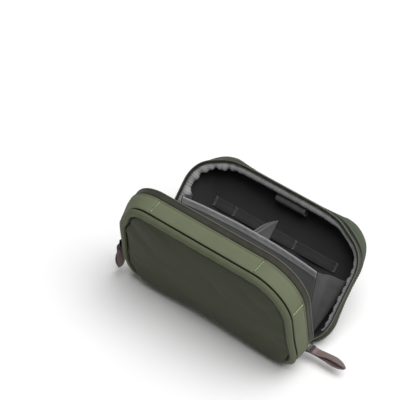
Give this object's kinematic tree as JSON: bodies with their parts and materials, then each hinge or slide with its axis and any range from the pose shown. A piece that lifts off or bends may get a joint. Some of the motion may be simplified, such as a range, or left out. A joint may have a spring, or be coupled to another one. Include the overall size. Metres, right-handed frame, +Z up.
{
  "type": "cable organizer pouch",
  "caption": "Soft two-compartment cable organizer pouch, shown with its main zipper compartment open, with a zip-off front cover, inner pocket wall, pen loop and webbing zipper pulls.",
  "frame": {"origin": "middle of the footprint, on the surface it stands on", "axes": "+X along the pouch towards the main slider's open end, +Y towards the rear half, +Z up"},
  "size_m": [0.2944, 0.1684, 0.15],
  "materials": {
    "shell_cloth": "matt coated olive-green cloth",
    "cover_cloth": "matt coated olive-green cloth",
    "foam": "thin padding",
    "zip_tape": "dark olive woven zipper tape",
    "zip_coil": "dark nylon coil",
    "pocket_cloth": "dark grey lining cloth",
    "lining_cloth": "charcoal lining cloth",
    "elastic": "black woven elastic",
    "dark_metal": "dark painted zinc",
    "webbing": "mauve-brown woven webbing",
    "thread": "bartack stitching"
  },
  "bodies": {
    "front_half": {"front_tape": "zip_tape", "front_coil": "zip_coil", "front_zip_stops": "dark_metal", "spine_front": "shell_cloth", "spine_fold": "shell_cloth", "gusset_top": "shell_cloth", "gusset_corner_right": "shell_cloth", "gusset_corner_left": "shell_cloth", "gusset_base": "shell_cloth", "gusset_foam": "foam", "gusset_lining": "lining_cloth", "compartment_wall": "lining_cloth", "organizer_board": "pocket_cloth", "organizer_upper_tier": "pocket_cloth", "organizer_lower_tier": "pocket_cloth", "gusset_zip_tape": "zip_tape", "cover_fold": "cover_cloth"},
    "front_cover": {"cover_rim": "cover_cloth", "cover_face": "cover_cloth", "cover_foam": "foam", "cover_zip_tape": "zip_tape", "cover_lining": "lining_cloth", "cover_slip_pocket": "pocket_cloth"},
    "rear_half": {"rear_tape": "zip_tape", "rear_coil": "zip_coil", "rear_zip_stops": "dark_metal", "spine_rear": "shell_cloth", "rear_shell": "shell_cloth", "rear_foam": "foam", "rear_lining": "lining_cloth", "rear_lining_roll": "lining_cloth", "elastic_strap": "elastic", "pen_loop": "lining_cloth", "side_panel_left": "pocket_cloth", "side_panel_right": "pocket_cloth", "divider": "pocket_cloth"},
    "pocket_wall": {"inner_wall": "pocket_cloth", "wall_hem": "pocket_cloth"},
    "main_slider": {"main_slider": "dark_metal"},
    "main_pull": {"main_pull_link": "dark_metal", "main_pull_webbing": "webbing", "main_pull_bartack": "thread"},
    "cover_slider": {"cover_slider": "dark_metal"},
    "cover_pull": {"cover_pull_link": "dark_metal", "cover_pull_webbing": "webbing", "cover_pull_bartack": "thread"}
  },
  "joints": [
    {"name": "main_hinge", "type": "hinge", "parent": "front_half", "child": "rear_half", "pos_m": [-0.01158, -0.02405, 0.00849], "axis": [1, 0, 0], "range_deg": [-8, 52], "deforming": ["side_panel_left", "side_panel_right", "divider"]},
    {"name": "pocket_wall_fold", "type": "hinge", "parent": "rear_half", "child": "pocket_wall", "pos_m": [-0.01158, -0.01133, 0.00894], "axis": [1, 0, 0], "range_deg": [-30.5, 5.12]},
    {"name": "front_cover_hinge", "type": "hinge", "parent": "front_half", "child": "front_cover", "pos_m": [-0.01158, -0.05524, 0.00214], "axis": [1, 0, 0], "range_deg": [0, 60]},
    {"name": "main_slider_track", "type": "hinge", "parent": "front_half", "child": "main_slider", "pos_m": [0.06842, -0.03031, 0.048], "axis": [0, -0.9877, -0.1564], "range_deg": [0, 50]},
    {"name": "main_pull_swing", "type": "hinge", "parent": "main_slider", "child": "main_pull", "pos_m": [0.09317, -0.02498, 0.01436], "axis": [0, -0.9877, -0.1564], "range_deg": [-75, 18]},
    {"name": "cover_slider_track", "type": "slide", "parent": "front_half", "child": "cover_slider", "axis": [0, -0.1564, 0.9877], "range_m": [0, 0.033]},
    {"name": "cover_pull_swing", "type": "hinge", "parent": "cover_slider", "child": "cover_pull", "pos_m": [-0.13428, -0.06406, 0.05784], "axis": [0, -0.9877, -0.1564], "range_deg": [-100, 4]}
  ],
  "couplings": [
    {"joint": "pocket_wall_fold", "follows": "main_hinge", "ratio": -0.57692}
  ]
}
